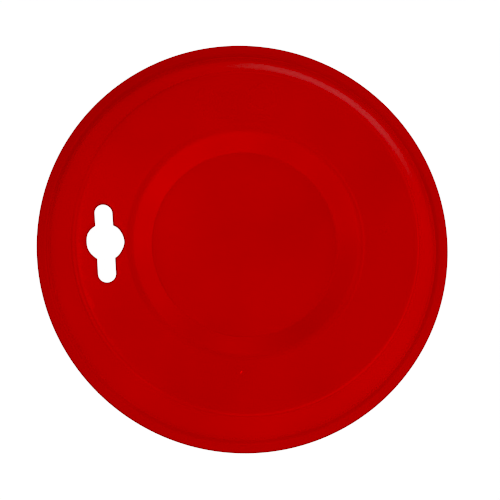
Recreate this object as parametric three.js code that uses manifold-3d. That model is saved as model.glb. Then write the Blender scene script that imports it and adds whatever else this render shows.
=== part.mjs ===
// Base disc of an ice fishing tip-up: one moulded plastic cover that lies over the hole in the ice.
// Millimetres, +Z up, origin on the disc's axis in the plane that the rim rests on.
// The shell follows one path from the axis outwards: recessed centre, slope, raised flat deck, steep
// skirt, narrow ledge and a drooping lip. A double keyhole through the deck takes the tip-up's stand.

import * as THREE from "three";
import { mergeVertices } from "three/addons/utils/BufferGeometryUtils.js";
import Module from "manifold-3d";

// Driving dimensions
const discRadius = 100;
const discHeight = 18;
const wallThickness = 1.8;

const recessRadius = 45.2;
const recessDepth = 6;
const slopeTopRadius = 56;
const deckRadius = 83.4;
const skirtFootRadius = 93.2;
const ledgeRadius = 95.6;
const ledgeHeight = 2.9;
const lipDrop = 1.6;

const recessFillet = 3;
const slopeTopFillet = 8;
const deckFillet = 2.6;
const skirtFootFillet = 2;
const ledgeFillet = 2;

const keyholeRadius = 9.15;
const keyholeSlotWidth = 8.8;
const keyholeReachUp = 18.4;
const keyholeReachDown = 19.8;
const keyholeDistance = 68;
const keyholeBearing = THREE.MathUtils.degToRad(180.4);
const keyholeSkew = THREE.MathUtils.degToRad(3.6);

const turns = 72;
const filletSteps = 2;
const capSteps = 4;
const cutterMargin = 2;

// Each corner of the shell's middle line: radius from the axis, height, and fillet radius.
function middleLine() {
  const half = wallThickness / 2;
  const deck = discHeight - half;
  const ledge = ledgeHeight - half;
  const lipRadius = discRadius - half;
  return [
    { point: new THREE.Vector2(0, deck - recessDepth), fillet: 0 },
    { point: new THREE.Vector2(recessRadius, deck - recessDepth), fillet: recessFillet },
    { point: new THREE.Vector2(slopeTopRadius, deck), fillet: slopeTopFillet },
    { point: new THREE.Vector2(deckRadius, deck), fillet: deckFillet },
    { point: new THREE.Vector2(skirtFootRadius, ledge), fillet: skirtFootFillet },
    { point: new THREE.Vector2(ledgeRadius, ledge), fillet: ledgeFillet },
    { point: new THREE.Vector2(lipRadius, ledge - lipDrop), fillet: 0 },
  ];
}

// Points along one corner's fillet arc, found where circles touch both of its legs.
function filletArc(before, corner, after) {
  const { point, fillet } = corner;
  if (fillet === 0) return [point];
  const inward = before.point.clone().sub(point).normalize();
  const outward = after.point.clone().sub(point).normalize();
  const halfAngle = Math.acos(THREE.MathUtils.clamp(inward.dot(outward), -1, 1)) / 2;
  const toCentre = inward.clone().add(outward).normalize();
  const centre = point.clone().addScaledVector(toCentre, fillet / Math.sin(halfAngle));
  const reach = fillet / Math.tan(halfAngle);
  const start = point.clone().addScaledVector(inward, reach).sub(centre);
  const end = point.clone().addScaledVector(outward, reach).sub(centre);
  const sweep = Math.atan2(start.cross(end), start.dot(end));
  const arc = [];
  for (let step = 0; step <= filletSteps; step += 1) {
    const spoke = start.clone().rotateAround(new THREE.Vector2(), (sweep * step) / filletSteps);
    arc.push(centre.clone().add(spoke));
  }
  return arc;
}

function roundedPath(corners) {
  return corners.flatMap((corner, index) => {
    const isEnd = index === 0 || index === corners.length - 1;
    return isEnd ? [corner.point] : filletArc(corners[index - 1], corner, corners[index + 1]);
  });
}

// Moves a path sideways; positive distances go to its upper side.
function offsetPath(path, distance) {
  return path.map((point, index) => {
    const from = path[Math.max(index - 1, 0)];
    const to = path[Math.min(index + 1, path.length - 1)];
    const first = point.clone().sub(index === 0 ? point : from).normalize();
    const second = to.clone().sub(index === path.length - 1 ? to : point).normalize();
    const along = first.clone().add(second).normalize();
    const leg = index === 0 ? second : first;
    const normal = new THREE.Vector2(-along.y, along.x);
    const miter = distance / Math.max(leg.dot(along), 0.5);
    return point.clone().addScaledVector(normal, miter);
  });
}

// Rounded outer edge of the lip, from the shell's upper face round to its lower face.
function lipCap(path) {
  const tip = path[path.length - 1];
  const along = tip.clone().sub(path[path.length - 2]);
  const firstAngle = along.angle() + Math.PI / 2;
  const cap = [];
  for (let step = 1; step < capSteps; step += 1) {
    const angle = firstAngle - (Math.PI * step) / capSteps;
    const spoke = new THREE.Vector2(Math.cos(angle), Math.sin(angle));
    cap.push(tip.clone().addScaledVector(spoke, wallThickness / 2));
  }
  return cap;
}

function shellGeometry() {
  const path = roundedPath(middleLine());
  const upper = offsetPath(path, wallThickness / 2);
  const lower = offsetPath(path, -wallThickness / 2);
  const profile = [...lower, ...lipCap(path).reverse(), ...upper.reverse()];
  return new THREE.LatheGeometry(profile, turns).rotateX(Math.PI / 2);
}

// A round hole with an arm on each side, as a prism that runs past both faces of the deck.
function keyholeGeometry() {
  const arm = keyholeSlotWidth / 2;
  const junction = Math.acos(arm / keyholeRadius);
  const shape = new THREE.Shape();
  shape.absarc(0, 0, keyholeRadius, -junction, junction, false);
  shape.absarc(0, keyholeReachUp - arm, arm, 0, Math.PI, false);
  shape.absarc(0, 0, keyholeRadius, Math.PI - junction, Math.PI + junction, false);
  shape.absarc(0, arm - keyholeReachDown, arm, Math.PI, 2 * Math.PI, false);
  const depth = wallThickness + 2 * cutterMargin;
  const prism = new THREE.ExtrudeGeometry(shape, { depth, bevelEnabled: false, curveSegments: 10 });
  prism.rotateZ(keyholeSkew);
  prism.translate(
    keyholeDistance * Math.cos(keyholeBearing),
    keyholeDistance * Math.sin(keyholeBearing),
    discHeight - wallThickness - cutterMargin,
  );
  return prism;
}

// Everything below the plane that the rim rests on; it trims the lip's lower edge flat.
function groundGeometry() {
  const side = 2 * (discRadius + cutterMargin);
  return new THREE.BoxGeometry(side, side, cutterMargin).translate(0, 0, -cutterMargin / 2);
}

const wasm = await Module();
wasm.setup();

function toSolid(geometry) {
  const bare = geometry.clone();
  bare.deleteAttribute("normal");
  bare.deleteAttribute("uv");
  const merged = mergeVertices(bare, 1e-4);
  const mesh = new wasm.Mesh({
    numProp: 3,
    vertProperties: new Float32Array(merged.attributes.position.array),
    triVerts: new Uint32Array(merged.index.array),
  });
  return new wasm.Manifold(mesh);
}

function toGeometry(solid) {
  const { vertProperties, triVerts } = solid.getMesh();
  const geometry = new THREE.BufferGeometry();
  geometry.setAttribute("position", new THREE.BufferAttribute(vertProperties, 3));
  geometry.setIndex(new THREE.BufferAttribute(triVerts, 1));
  geometry.computeVertexNormals();
  return geometry;
}

function baseDisc() {
  const shell = toSolid(shellGeometry()).subtract(toSolid(groundGeometry()));
  const solid = shell.subtract(toSolid(keyholeGeometry()));
  const redPlastic = new THREE.MeshStandardMaterial({ color: 0xb00000, roughness: 0.3, metalness: 0 });
  const disc = new THREE.Mesh(toGeometry(solid), redPlastic);
  disc.name = "base_disc";
  return disc;
}

const tipUpBase = new THREE.Group();
tipUpBase.add(baseDisc());

export default tipUpBase;
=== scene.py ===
"""Base disc of an ice fishing tip-up: the visual model, in metres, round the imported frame."""

import math

import bmesh
import bpy
from mathutils import Matrix, Vector, geometry, kdtree


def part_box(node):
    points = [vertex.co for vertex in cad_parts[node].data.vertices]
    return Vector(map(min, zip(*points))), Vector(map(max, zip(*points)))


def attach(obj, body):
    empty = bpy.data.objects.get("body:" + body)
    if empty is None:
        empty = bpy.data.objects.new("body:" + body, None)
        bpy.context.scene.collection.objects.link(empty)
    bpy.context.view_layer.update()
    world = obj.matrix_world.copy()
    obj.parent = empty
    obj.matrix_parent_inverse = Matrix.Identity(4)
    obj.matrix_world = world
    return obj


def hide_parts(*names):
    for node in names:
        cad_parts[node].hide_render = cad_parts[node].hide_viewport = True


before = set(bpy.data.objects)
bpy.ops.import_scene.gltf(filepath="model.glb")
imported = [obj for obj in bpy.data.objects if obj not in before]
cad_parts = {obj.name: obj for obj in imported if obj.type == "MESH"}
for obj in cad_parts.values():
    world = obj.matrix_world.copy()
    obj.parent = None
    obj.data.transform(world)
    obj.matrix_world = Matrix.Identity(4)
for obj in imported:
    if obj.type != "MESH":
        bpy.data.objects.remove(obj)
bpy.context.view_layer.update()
MM = 0.001

# The disc's sizes: its height comes from the frame, the rest repeat the CAD's dimensions.
DISC_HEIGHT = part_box("base_disc")[1][2]
DISC_RADIUS = 100 * MM
WALL = 1.8 * MM
RECESS_RADIUS = 45.2 * MM
RECESS_DEPTH = 6.0 * MM
SLOPE_TOP_RADIUS = 56.0 * MM
DECK_RADIUS = 83.4 * MM
SKIRT_FOOT_RADIUS = 93.2 * MM
LEDGE_RADIUS = 95.6 * MM
LEDGE_HEIGHT = 2.9 * MM
LIP_DROP = 1.6 * MM

RECESS_FILLET = 3.0 * MM
SLOPE_TOP_FILLET = 8.0 * MM
DECK_FILLET = 2.6 * MM
SKIRT_FOOT_FILLET = 2.0 * MM
LEDGE_FILLET = 2.0 * MM

KEYHOLE_RADIUS = 9.15 * MM
KEYHOLE_ARM = 8.8 * MM / 2
KEYHOLE_REACH_UP = 18.4 * MM
KEYHOLE_REACH_DOWN = 19.8 * MM
KEYHOLE_DISTANCE = 68 * MM
KEYHOLE_BEARING = math.radians(180.4)
KEYHOLE_SKEW = math.radians(3.6)
KEYHOLE_EDGE = 0.35 * MM
PUNCH_WOBBLE = 0.12 * MM

# Small relief that is too fine for the CAD: plain raised marks, pin marks and the gate's stub.
MARK_RISE = 0.16 * MM
MARK_HALF_WIDTH = 0.75 * MM
MARK_BEVEL = 0.35 * MM
MARK_GUARD = 0.25 * MM
PIN_RADIUS = 2.1 * MM
PIN_CIRCLE = 67.5 * MM
PIN_BEARING = math.radians(6.6)
PIN_COUNT = 5
DIMPLE_DEPTH = 0.06 * MM
PIN_DEPTH = 0.12 * MM
GATE_RADIUS = 1.7 * MM
GATE_STUB = 0.4 * MM
GATE_ROUNDING = 0.3 * MM

# The disc's material slots: glossy faces, a duller lip in a slightly darker red that is painted
# shade, and a dark red on the rim band and cut edges that is painted shade.
BODY, SHADED_LIP, SHADED_EDGE = 0, 1, 2
SHADED_LIP_START = 96.2 * MM
SHADED_RIM_WIDTH = 0.35 * MM

# A painted glint on the deck: a short pale spot put into the colour.
GLINT_PLACE = (-2.4 * MM, -63.0 * MM)
GLINT_HEADING = math.radians(52)
GLINT_SIZE = (0.95 * MM, 0.38 * MM)

TURNS = 288
FILLET_STEPS = 8
CAP_STEPS = 10
ARC_STEPS = 24
LEG_STEP = 3.5 * MM
STUB_STEPS = 4
EDGE_STEPS = 5
GRID_STEP = 3.0 * MM
ROW_PITCH = 0.866
KEEP_OFF = 0.35 * GRID_STEP
WELD = 1e-7


# ---------------------------------------------------------------- the shell's section


def middle_line():
    """Corners of the shell's middle line: (point, fillet radius), from the axis outwards."""
    deck = DISC_HEIGHT - WALL / 2
    ledge = LEDGE_HEIGHT - WALL / 2
    return [
        (Vector((0.0, deck - RECESS_DEPTH)), 0.0),
        (Vector((RECESS_RADIUS, deck - RECESS_DEPTH)), RECESS_FILLET),
        (Vector((SLOPE_TOP_RADIUS, deck)), SLOPE_TOP_FILLET),
        (Vector((DECK_RADIUS, deck)), DECK_FILLET),
        (Vector((SKIRT_FOOT_RADIUS, ledge)), SKIRT_FOOT_FILLET),
        (Vector((LEDGE_RADIUS, ledge)), LEDGE_FILLET),
        (Vector((DISC_RADIUS - WALL / 2, ledge - LIP_DROP)), 0.0),
    ]


def fillet_arc(before, corner, radius, after):
    """(point, normal) pairs along the arc that rounds a corner of the middle line."""
    inward = (before - corner).normalized()
    outward = (after - corner).normalized()
    half_angle = inward.angle(outward) / 2
    centre = corner + (inward + outward).normalized() * (radius / math.sin(half_angle))
    reach = radius / math.tan(half_angle)
    start = corner + inward * reach - centre
    end = corner + outward * reach - centre
    sweep = math.atan2(start.x * end.y - start.y * end.x, start.dot(end))
    side = 1.0 if sweep < 0 else -1.0
    arc = []
    for step in range(FILLET_STEPS + 1):
        angle = sweep * step / FILLET_STEPS
        spoke = Vector((
            start.x * math.cos(angle) - start.y * math.sin(angle),
            start.x * math.sin(angle) + start.y * math.cos(angle),
        ))
        arc.append((centre + spoke, spoke.normalized() * side))
    return arc


def leg(start, end):
    """(point, normal) pairs inside a straight stretch of the middle line, ends left out."""
    (first, normal), last = start, end[0]
    count = max(1, round((last - first).length / LEG_STEP))
    return [(first.lerp(last, step / count), normal) for step in range(1, count)]


def middle_path():
    """The middle line in two stretches, (inner, outer), on each side of the flat deck."""
    corners = middle_line()
    stops = [[(corners[0][0], Vector((0.0, 1.0)))]]
    for index in range(1, len(corners) - 1):
        point, radius = corners[index]
        stops.append(fillet_arc(corners[index - 1][0], point, radius, corners[index + 1][0]))
    along = (corners[-1][0] - corners[-2][0]).normalized()
    stops.append([(corners[-1][0], Vector((-along.y, along.x)))])

    def joined(parts):
        path = list(parts[0])
        for part in parts[1:]:
            path += leg(path[-1], part[0]) + list(part)
        return path

    return joined(stops[:3]), joined(stops[3:])


def moved(path, distance):
    return [point + normal * distance for point, normal in path]


def lip_cap(path):
    """Rounded edge of the lip, from the upper face round to the lower one, ends left out."""
    tip, normal = path[-1]
    first = math.atan2(normal.y, normal.x)
    angles = [first - math.pi * step / CAP_STEPS for step in range(1, CAP_STEPS)]
    return [tip + Vector((math.cos(a), math.sin(a))) * (WALL / 2) for a in angles]


# ---------------------------------------------------------------- the keyhole


def keyhole_centre():
    return Vector((math.cos(KEYHOLE_BEARING), math.sin(KEYHOLE_BEARING))) * KEYHOLE_DISTANCE


def arc_points(centre_y, radius, start, end, steps):
    return [
        Vector((radius * math.cos(a), centre_y + radius * math.sin(a)))
        for a in (start + (end - start) * step / steps for step in range(steps + 1))
    ]


def keyhole_outline(grow):
    """The keyhole's outline, moved outwards by grow, with a punched edge's slight waviness."""
    radius, arm = KEYHOLE_RADIUS + grow, KEYHOLE_ARM + grow
    junction = math.acos(arm / radius)
    up, down = KEYHOLE_REACH_UP - KEYHOLE_ARM, KEYHOLE_ARM - KEYHOLE_REACH_DOWN
    outline = arc_points(0, radius, -junction, junction, ARC_STEPS)
    outline += arc_points(up, arm, 0, math.pi, ARC_STEPS)
    outline += arc_points(0, radius, math.pi - junction, math.pi + junction, ARC_STEPS)
    outline += arc_points(down, arm, math.pi, 2 * math.pi, ARC_STEPS)
    centre = keyhole_centre()
    turned = []
    for point in outline:
        angle = point.angle_signed(Vector((1, 0)))
        away = point.normalized()
        wave = math.sin(3 * angle + 0.6) + 0.6 * math.sin(7 * angle + 2.0)
        point = point + away * PUNCH_WOBBLE * wave
        x = point.x * math.cos(KEYHOLE_SKEW) - point.y * math.sin(KEYHOLE_SKEW)
        y = point.x * math.sin(KEYHOLE_SKEW) + point.y * math.cos(KEYHOLE_SKEW)
        turned.append(centre + Vector((x, y)))
    return turned


# ---------------------------------------------------------------- fine relief on the deck


def raised(distance, rise):
    """Height of a soft-sided line at a distance from its middle."""
    return rise * min(max((MARK_HALF_WIDTH - distance) / MARK_BEVEL, 0.0), 1.0)


def ring_mark(centre, radius, sides):
    """A raised ring: a regular polygon's outline, or a circle when it has many sides."""
    centre = Vector(centre)
    apothem = math.cos(math.pi / sides)

    def outline(grow):
        reach = (radius + grow) / apothem
        corners = [
            centre + Vector((math.cos(angle), math.sin(angle))) * reach
            for angle in (2 * math.pi * (k + 0.5) / sides for k in range(sides))
        ]
        pieces = max(1, 36 // sides)
        return [
            corner.lerp(corners[(k + 1) % sides], piece / pieces)
            for k, corner in enumerate(corners)
            for piece in range(pieces)
        ]

    def lift(point):
        offset = point - centre
        turn = 2 * math.pi / sides
        facing = round(math.atan2(offset.y, offset.x) / turn) * turn
        along = offset.x * math.cos(facing) + offset.y * math.sin(facing)
        return raised(abs(along - radius), MARK_RISE)

    edge = MARK_HALF_WIDTH
    steps = (edge + MARK_GUARD, edge, edge - MARK_BEVEL)
    return {"loops": [outline(side * step) for side in (-1, 1) for step in steps], "lift": lift}


def bar_mark(start, end):
    """A raised straight bar with round ends."""
    start, end = Vector(start), Vector(end)
    along = (end - start).normalized()
    heading = math.atan2(along.y, along.x)

    def outline(reach):
        points = []
        for centre, first in ((end, heading - math.pi / 2), (start, heading + math.pi / 2)):
            for step in range(9):
                angle = first + math.pi * step / 8
                points.append(centre + Vector((math.cos(angle), math.sin(angle))) * reach)
        return points

    def lift(point):
        share = min(max((point - start).dot(along), 0.0), (end - start).length)
        return raised((point - start - along * share).length, MARK_RISE)

    edge = MARK_HALF_WIDTH
    reaches = (edge + MARK_GUARD, edge, edge - MARK_BEVEL)
    return {"loops": [outline(reach) for reach in reaches], "lift": lift}


def pin_mark(bearing, change):
    """A round ejector mark, raised or sunk by a change in height, with a soft edge."""
    centre = Vector((math.cos(bearing), math.sin(bearing))) * PIN_CIRCLE
    grows = (MARK_GUARD, 0.0, -MARK_BEVEL, -2 * MARK_BEVEL)

    def lift(point):
        depth = (PIN_RADIUS - (point - centre).length) / MARK_BEVEL
        return change * min(max(depth, 0.0), 1.0)

    return {"loops": [circle(PIN_RADIUS + grow, centre, 32) for grow in grows], "lift": lift}


def deck_marks():
    """Plain shapes in the place of the moulder's marks, and one faint pin mark."""
    return [
        ring_mark((-20 * MM, 70.5 * MM), 4.3 * MM, 48),
        bar_mark((-20 * MM, 61.5 * MM), (-20 * MM, 64 * MM)),
        ring_mark((-9.5 * MM, 68.5 * MM), 4.0 * MM, 4),
        bar_mark((-13 * MM, 60.5 * MM), (-7 * MM, 60.5 * MM)),
        ring_mark((7.7 * MM, 71.5 * MM), 5.6 * MM, 6),
        bar_mark((4.8 * MM, 62 * MM), (11 * MM, 62 * MM)),
        pin_mark(PIN_BEARING, -DIMPLE_DEPTH),
    ]


def underside_marks():
    """Ejector pins' marks, evenly spaced round the deck's underside and clear of the keyhole."""
    bearings = [PIN_BEARING + 2 * math.pi * k / PIN_COUNT for k in range(PIN_COUNT)]
    return [pin_mark(bearing, PIN_DEPTH) for bearing in bearings]


# ---------------------------------------------------------------- mesh building


def circle(radius, centre=(0.0, 0.0), count=TURNS):
    return [
        Vector((
            centre[0] + radius * math.cos(2 * math.pi * step / count),
            centre[1] + radius * math.sin(2 * math.pi * step / count),
        ))
        for step in range(count)
    ]


def add_loop(mesh, outline, height):
    return [mesh.verts.new((point.x, point.y, height)) for point in outline]


def bridge(mesh, first, second, finish=BODY):
    """Quads between two loops of the same length."""
    count = len(first)
    for index in range(count):
        following = (index + 1) % count
        face = mesh.faces.new((first[index], first[following], second[following], second[index]))
        face.material_index = finish


def lathe(mesh, profile):
    """Rings of quads along (radius, height) points; a point on the axis becomes one vertex."""
    rings = []
    for radius, height in profile:
        if radius < WELD:
            rings.append([mesh.verts.new((0, 0, height))])
        else:
            rings.append(add_loop(mesh, circle(radius), height))
    for first, second in zip(rings, rings[1:]):
        if len(first) == 1 or len(second) == 1:
            pole, ring = (first[0], second) if len(first) == 1 else (second[0], first)
            for index, vertex in enumerate(ring):
                mesh.faces.new((pole, vertex, ring[(index + 1) % len(ring)]))
        else:
            bridge(mesh, first, second)


def inside(point, outline):
    """True if a point lies within a closed outline."""
    hit = False
    previous = outline[-1]
    for corner in outline:
        if (corner.y > point.y) != (previous.y > point.y):
            share = (point.y - corner.y) / (previous.y - corner.y)
            if point.x < corner.x + share * (previous.x - corner.x):
                hit = not hit
        previous = corner
    return hit


def flat_band(mesh, inner, outer, hole, reliefs, height):
    """The flat deck between two radii round the keyhole, with its relief, evenly triangulated."""
    loops = [circle(inner), circle(outer), hole]
    for relief in reliefs:
        loops += relief["loops"]
    points, edges = [], []
    for loop in loops:
        first = len(points)
        points += loop
        edges += [(first + i, first + (i + 1) % len(loop)) for i in range(len(loop))]
    near = kdtree.KDTree(len(points))
    for index, point in enumerate(points):
        near.insert(point.to_3d(), index)
    near.balance()
    rows = int(outer / GRID_STEP) + 2
    for row in range(-rows, rows + 1):
        for column in range(-rows, rows + 1):
            point = Vector(((column + 0.5 * (row % 2)) * GRID_STEP, row * GRID_STEP * ROW_PITCH))
            if not inner + KEEP_OFF < point.length < outer - KEEP_OFF or inside(point, hole):
                continue
            if near.find(point.to_3d())[2] > KEEP_OFF:
                points.append(point)
    flat, _, faces, *_ = geometry.delaunay_2d_cdt(points, edges, [], 1, WELD)
    vertices = []
    for point in flat:
        lift = sum(relief["lift"](point) for relief in reliefs)
        vertices.append(mesh.verts.new((point.x, point.y, height + lift)))
    for face in faces:
        middle = sum((flat[index] for index in face), Vector((0, 0))) / len(face)
        if middle.length < inner or inside(middle, hole):
            continue
        mesh.faces.new([vertices[index] for index in face])


def to_object(mesh, name):
    bmesh.ops.remove_doubles(mesh, verts=mesh.verts, dist=10 * WELD)
    bmesh.ops.recalc_face_normals(mesh, faces=mesh.faces)
    data = bpy.data.meshes.new(name)
    mesh.to_mesh(data)
    mesh.free()
    for polygon in data.polygons:
        polygon.use_smooth = True
    made = bpy.data.objects.new(name, data)
    bpy.context.collection.objects.link(made)
    return made


def trimmed(profile):
    """A profile cut off flat at the plane that the rim rests on."""
    kept = []
    for before, point in zip([None] + profile[:-1], profile):
        if before is not None and (before.y < 0) != (point.y < 0):
            kept.append(before.lerp(point, before.y / (before.y - point.y)))
        if point.y >= 0:
            kept.append(point)
    return kept


def gate_stub(height):
    """The sprue's stub under the centre, as (radius, height) points from its tip to its foot."""
    tip = height - GATE_STUB
    middle = Vector((GATE_RADIUS - GATE_ROUNDING, tip + GATE_ROUNDING))
    stub = [Vector((0.0, tip))]
    for step in range(STUB_STEPS + 1):
        angle = math.pi / 2 * step / STUB_STEPS
        stub.append(middle + Vector((math.sin(angle), -math.cos(angle))) * GATE_ROUNDING)
    stub.append(Vector((GATE_RADIUS, height)))
    return stub


def keyhole_section():
    """(growth, height) points of the keyhole's wall, from the deck's top to its underside."""
    quarter = [math.pi / 2 * step / EDGE_STEPS for step in range(EDGE_STEPS + 1)]
    rounded = [
        (KEYHOLE_EDGE * (1 - math.sin(a)), KEYHOLE_EDGE * (1 - math.cos(a)))
        for a in quarter
    ]
    section = [(grow, DISC_HEIGHT - drop) for grow, drop in rounded]
    return section + [(grow, DISC_HEIGHT - WALL + drop) for grow, drop in rounded[::-1]]


def make_disc():
    inner, outer = middle_path()
    half = WALL / 2
    upper_inner, upper_outer = moved(inner, half), moved(outer, half)
    lower_inner, lower_outer = moved(inner, -half), moved(outer, -half)
    mesh = bmesh.new()
    lathe(mesh, upper_inner)
    lathe(mesh, gate_stub(lower_inner[0].y) + lower_inner[1:])
    lathe(mesh, trimmed(upper_outer + lip_cap(outer) + lower_outer[::-1]))
    rim = keyhole_outline(KEYHOLE_EDGE)
    flat_band(mesh, upper_inner[-1].x, upper_outer[0].x, rim, deck_marks(), DISC_HEIGHT)
    flat_band(mesh, lower_inner[-1].x, lower_outer[0].x, rim, underside_marks(), DISC_HEIGHT - WALL)
    # The keyhole's cut wall takes the dark red that paints shade on it.
    loops = [add_loop(mesh, keyhole_outline(grow), height) for grow, height in keyhole_section()]
    for first, second in zip(loops, loops[1:]):
        bridge(mesh, first, second, SHADED_EDGE)
    # Past the lip's start the faces take darker reds as painted shade: the lip slightly darker, the
    # outermost rim band dark.
    for face in mesh.faces:
        reach = face.calc_center_median().xy.length
        if reach > SHADED_LIP_START:
            face.material_index = SHADED_EDGE if reach > DISC_RADIUS - SHADED_RIM_WIDTH else SHADED_LIP
    return to_object(mesh, "disc")


# ---------------------------------------------------------------- materials


def add_node(tree, kind, settings=None, **inputs):
    """A shader node; inputs go by name, or by number as _0, and take a value or another output."""
    node = tree.nodes.new(kind)
    for name, value in (settings or {}).items():
        setattr(node, name, value)
    for name, value in inputs.items():
        numbered = name[1:].isdigit()
        socket = node.inputs[int(name[1:]) if numbered else name.replace("_", " ")]
        if isinstance(value, bpy.types.NodeSocket):
            tree.links.new(value, socket)
        else:
            socket.default_value = value
    return node


def noise_at(tree, coords, scale, detail=2.0, stretch=None, turn=0.0):
    """Object-space noise from 0 to 1, stretched along a direction if asked."""
    if stretch:
        coords = add_node(
            tree, "ShaderNodeMapping",
            Vector=coords, Rotation=(0, 0, turn), Scale=stretch,
        ).outputs[0]
    noise = add_node(tree, "ShaderNodeTexNoise", Vector=coords, Scale=scale, Detail=detail)
    return noise.outputs[0]


def span(tree, value, low, high, to_low, to_high):
    """A value mapped from one range to another, held at the ends."""
    return add_node(
        tree, "ShaderNodeMapRange",
        Value=value, From_Min=low, From_Max=high, To_Min=to_low, To_Max=to_high,
    ).outputs[0]


def blend_colour(tree, factor, first, second):
    mix = add_node(tree, "ShaderNodeMix", {"data_type": "RGBA"}, _0=factor, _6=first, _7=second)
    return mix.outputs[2]


def hairlines(tree, coords):
    """Fine rubbing marks in three directions: 1 on a mark, 0 between the marks."""
    total = None
    for turn, scale in ((0.35, 95.0), (1.45, 80.0), (2.5, 110.0)):
        streak = noise_at(tree, coords, scale, 1.0, (1.0, 26.0, 1.0), turn)
        mark = span(tree, streak, 0.66, 0.72, 0.0, 1.0)
        if total is not None:
            larger = add_node(tree, "ShaderNodeMath", {"operation": "MAXIMUM"}, _0=total, _1=mark)
            mark = larger.outputs[0]
        total = mark
    return total


def painted_glint_mask(tree, coords):
    """1 on the painted glint and 0 off it: a small turned ellipse with a soft edge."""
    place = (*GLINT_PLACE, 0.0)
    centred = add_node(tree, "ShaderNodeVectorMath", {"operation": "SUBTRACT"}, _0=coords, _1=place)
    turned = add_node(
        tree, "ShaderNodeMapping", {"vector_type": "TEXTURE"},
        Vector=centred.outputs[0], Rotation=(0, 0, GLINT_HEADING), Scale=(*GLINT_SIZE, 1.0),
    )
    flat = add_node(
        tree, "ShaderNodeVectorMath", {"operation": "MULTIPLY"},
        _0=turned.outputs[0], _1=(1, 1, 0),
    )
    reach = add_node(tree, "ShaderNodeVectorMath", {"operation": "LENGTH"}, _0=flat.outputs[0])
    return span(tree, reach.outputs["Value"], 0.6, 1.0, 1.0, 0.0)


def bumps(tree, coords, scratches):
    """Normal of a moulded face: slow waviness, a fine orange peel and the hairlines."""
    layers = (
        (noise_at(tree, coords, 16.0, 1.0), 0.05 * MM),
        (noise_at(tree, coords, 700.0, 2.0), 0.0018 * MM),
        (scratches, -0.0012 * MM),
    )
    normal = None
    for height, depth in layers:
        bump = add_node(tree, "ShaderNodeBump", Height=height, Strength=1.0, Distance=depth)
        if normal is not None:
            tree.links.new(normal, bump.inputs["Normal"])
        normal = bump.outputs[0]
    return normal


def red_plastic():
    material = bpy.data.materials.new("red_plastic")
    material.use_nodes = True
    tree = material.node_tree
    shader = tree.nodes["Principled BSDF"]
    coords = add_node(tree, "ShaderNodeTexCoord").outputs["Object"]
    pigment = blend_colour(
        tree, span(tree, noise_at(tree, coords, 22.0, 3.0), 0.35, 0.65, 0.0, 1.0),
        (0.405, 0.0006, 0.0008, 1), (0.435, 0.0007, 0.0009, 1),
    )
    # The painted glint: the red turns pale pink on the small spot.
    colour = blend_colour(tree, painted_glint_mask(tree, coords), pigment, (0.85, 0.09, 0.08, 1))
    scratches = hairlines(tree, coords)
    cloudy = span(tree, noise_at(tree, coords, 45.0, 4.0), 0.35, 0.65, 0.12, 0.17)
    rubbed = add_node(
        tree, "ShaderNodeMath", {"operation": "MULTIPLY_ADD"},
        _0=scratches, _1=0.05, _2=cloudy,
    )
    tree.links.new(colour, shader.inputs["Base Color"])
    tree.links.new(rubbed.outputs[0], shader.inputs["Roughness"])
    tree.links.new(bumps(tree, coords, scratches), shader.inputs["Normal"])
    shader.inputs["Specular IOR Level"].default_value = 0.42
    shader.inputs["Specular Tint"].default_value = (1.0, 0.0, 0.0, 1)
    return material


def shaded_dull_plastic(name, dark, light, roughness, specular):
    """Darker copies of the plastic that paint shade on the lip and the cut edges: rougher and
    grained, in two depths of red.
    """
    material = bpy.data.materials.new(name)
    material.use_nodes = True
    tree = material.node_tree
    shader = tree.nodes["Principled BSDF"]
    coords = add_node(tree, "ShaderNodeTexCoord").outputs["Object"]
    grain = noise_at(tree, coords, 900.0, 3.0)
    colour = blend_colour(tree, grain, (dark, 0.0005, 0.0006, 1), (light, 0.0006, 0.0008, 1))
    bump = add_node(tree, "ShaderNodeBump", Height=grain, Strength=1.0, Distance=0.02 * MM)
    tree.links.new(colour, shader.inputs["Base Color"])
    tree.links.new(bump.outputs[0], shader.inputs["Normal"])
    shader.inputs["Roughness"].default_value = roughness
    shader.inputs["Specular IOR Level"].default_value = specular
    shader.inputs["Specular Tint"].default_value = (1.0, 0.0, 0.0, 1)
    return material


def floor_material():
    material = bpy.data.materials.new("white_floor")
    material.use_nodes = True
    shader = material.node_tree.nodes["Principled BSDF"]
    shader.inputs["Base Color"].default_value = (0.02, 0.02, 0.02, 1)
    shader.inputs["Roughness"].default_value = 1.0
    shader.inputs["Specular IOR Level"].default_value = 0.0
    shader.inputs["Emission Color"].default_value = (1, 1, 1, 1)
    shader.inputs["Emission Strength"].default_value = 1.0
    return material


# ---------------------------------------------------------------- stage, camera and light


def make_floor():
    bpy.ops.mesh.primitive_plane_add(size=6, location=(0, 0, 0))
    floor = bpy.context.object
    floor.name = "floor"
    floor.data.materials.append(floor_material())


CAMERA_DISTANCE = 3.0
CAMERA_TILT = math.radians(10.5)
CAMERA_BEARING = math.radians(240)
LENS = 445.6
SHIFT = (0.0146, -0.0027)


def make_camera():
    away = Vector((
        math.sin(CAMERA_TILT) * math.cos(CAMERA_BEARING),
        math.sin(CAMERA_TILT) * math.sin(CAMERA_BEARING),
        math.cos(CAMERA_TILT),
    ))
    right = Vector((0, 1, 0)).cross(away).normalized()
    pose = Matrix((right, away.cross(right), away)).transposed().to_4x4()
    pose.translation = away * CAMERA_DISTANCE
    data = bpy.data.cameras.new("camera")
    data.lens = LENS
    data.shift_x, data.shift_y = SHIFT
    camera = bpy.data.objects.new("camera", data)
    bpy.context.collection.objects.link(camera)
    camera.matrix_world = pose
    bpy.context.scene.camera = camera


# Black levels of red, green and blue: the faint white veil on deep red turns to black.
BLACK_LEVEL = (0.0, 0.1, 0.1)

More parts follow.
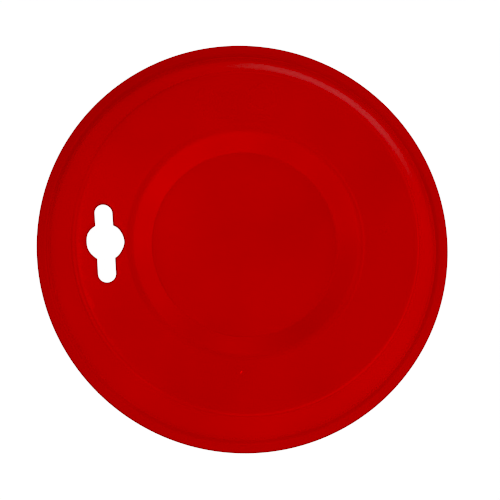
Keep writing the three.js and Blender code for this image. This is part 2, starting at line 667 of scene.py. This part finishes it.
# Soft glows in the surroundings: azimuth, elevation and half-width in degrees, and brightness.
GLOWS = (
    (341, 31, 13, 3.7),
    (10, 26, 11, 3.1),
    (311, 37, 13, 2.9),
    (277, 41, 12, 2.7),
    (230, 44, 14, 2.2),
    (185, 47, 15, 3.2),
    (140, 45, 15, 1.6),
    (36, 22, 11, 2.6),
    (80, 20, 15, 2.4),
    (230, 8, 12, 1.4),
    (150, 10, 13, 1.3),
)

# Softboxes overhead, which the flat faces mirror: centre, size and brightness.
PANEL_HEIGHT = 1.0
PANELS = (
    ((-0.054, 0.14), (0.045, 0.11), 7.5),
    ((-0.054, 0.035), (0.045, 0.09), 4.0),
    ((0.03, 0.17), (0.045, 0.06), 5.0),
)


def glow(tree, direction, azimuth, elevation, half_width, brightness):
    """A round patch of light that fades smoothly away from its middle."""
    azimuth, elevation = math.radians(azimuth), math.radians(elevation)
    middle = (
        math.cos(elevation) * math.cos(azimuth),
        math.cos(elevation) * math.sin(azimuth),
        math.sin(elevation),
    )
    sharpness = math.log(2) / (1 - math.cos(math.radians(half_width)))
    toward = add_node(
        tree, "ShaderNodeVectorMath", {"operation": "DOT_PRODUCT"},
        _0=direction, _1=middle,
    )
    fall = add_node(
        tree, "ShaderNodeMath", {"operation": "MULTIPLY_ADD"},
        _0=toward.outputs["Value"], _1=sharpness, _2=math.log(brightness) - sharpness,
    )
    power = add_node(tree, "ShaderNodeMath", {"operation": "EXPONENT"}, _0=fall.outputs[0])
    return power.outputs[0]


def make_world():
    """A dark ceiling with soft glows at mid height and near the horizon."""
    world = bpy.data.worlds.new("studio")
    bpy.context.scene.world = world
    world.use_nodes = True
    tree = world.node_tree
    direction = add_node(tree, "ShaderNodeTexCoord").outputs["Generated"]
    total = 0.0
    for settings in GLOWS:
        total = add_node(
            tree, "ShaderNodeMath", {"operation": "ADD"},
            _0=total, _1=glow(tree, direction, *settings),
        ).outputs[0]
    tree.links.new(total, tree.nodes["Background"].inputs["Strength"])
    tree.nodes["Background"].inputs["Color"].default_value = (1, 1, 1, 1)


def make_panels():
    for number, ((x, y), (width, depth), brightness) in enumerate(PANELS):
        light = bpy.data.lights.new(f"softbox_{number}", "AREA")
        light.shape = "RECTANGLE"
        light.size, light.size_y = width, depth
        light.energy = brightness * math.pi * width * depth
        panel = bpy.data.objects.new(light.name, light)
        bpy.context.collection.objects.link(panel)
        panel.location = (x, y, PANEL_HEIGHT)
        panel.visible_camera = False


def set_tone():
    view = bpy.context.scene.view_settings
    view.view_transform = "Standard"
    view.use_curve_mapping = True
    view.curve_mapping.black_level = BLACK_LEVEL


make_camera()
make_floor()
make_world()
make_panels()
set_tone()
disc = make_disc()
disc.data.materials.append(red_plastic())
# The lip: rougher and less glossy, in a slightly darker red that is painted shade.
disc.data.materials.append(shaded_dull_plastic("red_plastic_lip_painted_shade", 0.37, 0.41, 0.35, 0.2))
# The rim band and cut edges: a dark red that is painted shade.
disc.data.materials.append(shaded_dull_plastic("red_plastic_edge_painted_shade", 0.11, 0.17, 0.5, 0.2))
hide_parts("base_disc")
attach(disc, "root")
